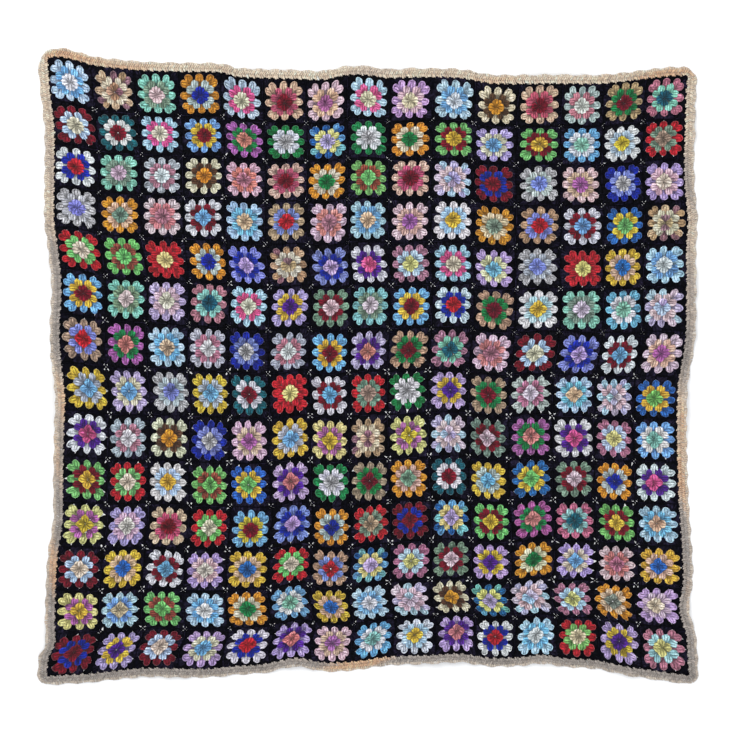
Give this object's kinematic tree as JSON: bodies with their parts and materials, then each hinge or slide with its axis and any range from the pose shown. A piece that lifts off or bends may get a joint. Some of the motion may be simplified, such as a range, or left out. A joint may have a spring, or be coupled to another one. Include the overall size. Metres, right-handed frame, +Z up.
{
  "type": "granny square blanket",
  "caption": "Crocheted lap blanket of multicoloured granny squares joined in black yarn, with a wide cream edging, spread out flat.",
  "frame": {"origin": "middle of the blanket's outline, on the surface it lies on", "axes": "+X along the rows of squares to the right, +Y to the top edge, +Z up out of the cloth's face"},
  "size_m": [1.5179, 1.462, 0.0179],
  "materials": {
    "coloured_yarn": "matte",
    "black_yarn": "matte",
    "cream_yarn": "matte"
  },
  "bodies": {
    "root": {"joined_squares": "black_yarn", "edging": "cream_yarn"}
  },
  "joints": []
}
